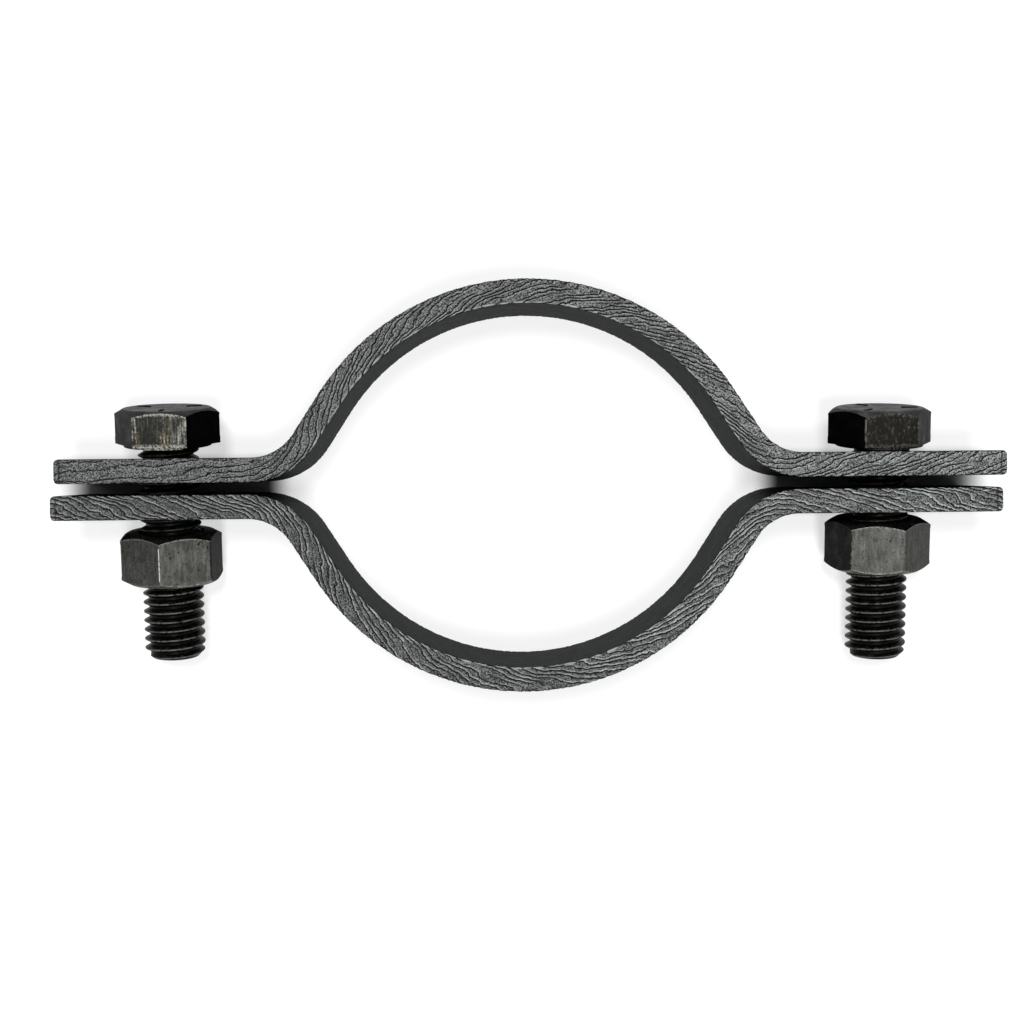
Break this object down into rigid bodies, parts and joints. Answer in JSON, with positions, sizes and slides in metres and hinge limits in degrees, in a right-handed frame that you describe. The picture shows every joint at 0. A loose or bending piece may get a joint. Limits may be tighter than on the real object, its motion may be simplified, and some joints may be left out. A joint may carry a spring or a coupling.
{
  "type": "two-bolt pipe clamp",
  "caption": "Unlined pipe clamp of two bent flat-bar halves, joined through their ears by hex bolts and nuts, lying slack on its side.",
  "frame": {"origin": "on the axis of the pipe seat, halfway between the two halves, at the level of the side edges the clamp lies on", "axes": "+Z along the pipe, up from the side the clamp lies on; +X along the ears; +Y across the ears, towards the bolt heads"},
  "size_m": [0.1929, 0.0834, 0.032],
  "materials": {
    "bar_steel": "mill scale, with rough sheared side edges",
    "bolt_steel": "black oxide, worn on the head",
    "nut_steel": "satin, lightly oiled"
  },
  "bodies": {
    "upper_half": {"upper_half": "bar_steel"},
    "lower_half": {"lower_half": "bar_steel"},
    "left_bolt": {"left_bolt": "bolt_steel"},
    "right_bolt": {"right_bolt": "bolt_steel"},
    "left_nut": {"left_nut": "nut_steel"},
    "right_nut": {"right_nut": "nut_steel"}
  },
  "joints": [
    {"name": "halves_close", "type": "slide", "parent": "upper_half", "child": "lower_half", "axis": [0, 1, 0], "range_m": [-0.00015, 0.0023]},
    {"name": "left_bolt_turn", "type": "hinge", "parent": "upper_half", "child": "left_bolt", "pos_m": [-0.0745, 0, 0.016], "axis": [0, 0.9914, 0.1305], "range_deg": [-230, 2850]},
    {"name": "right_bolt_turn", "type": "hinge", "parent": "upper_half", "child": "right_bolt", "pos_m": [0.0745, 0, 0.016], "axis": [0, 0.9914, 0.1305], "range_deg": [-27, 3350]},
    {"name": "left_nut_travel", "type": "slide", "parent": "upper_half", "child": "left_nut", "axis": [0, -0.9914, -0.1305], "range_m": [-0.00126, 0.0155]},
    {"name": "right_nut_travel", "type": "slide", "parent": "upper_half", "child": "right_nut", "axis": [0, -0.9914, -0.1305], "range_m": [-0.00015, 0.0182]}
  ],
  "couplings": [
    {"joint": "left_nut_travel", "follows": "left_bolt_turn", "m_per_rad": 0.00031096},
    {"joint": "right_nut_travel", "follows": "right_bolt_turn", "m_per_rad": 0.00031096}
  ]
}
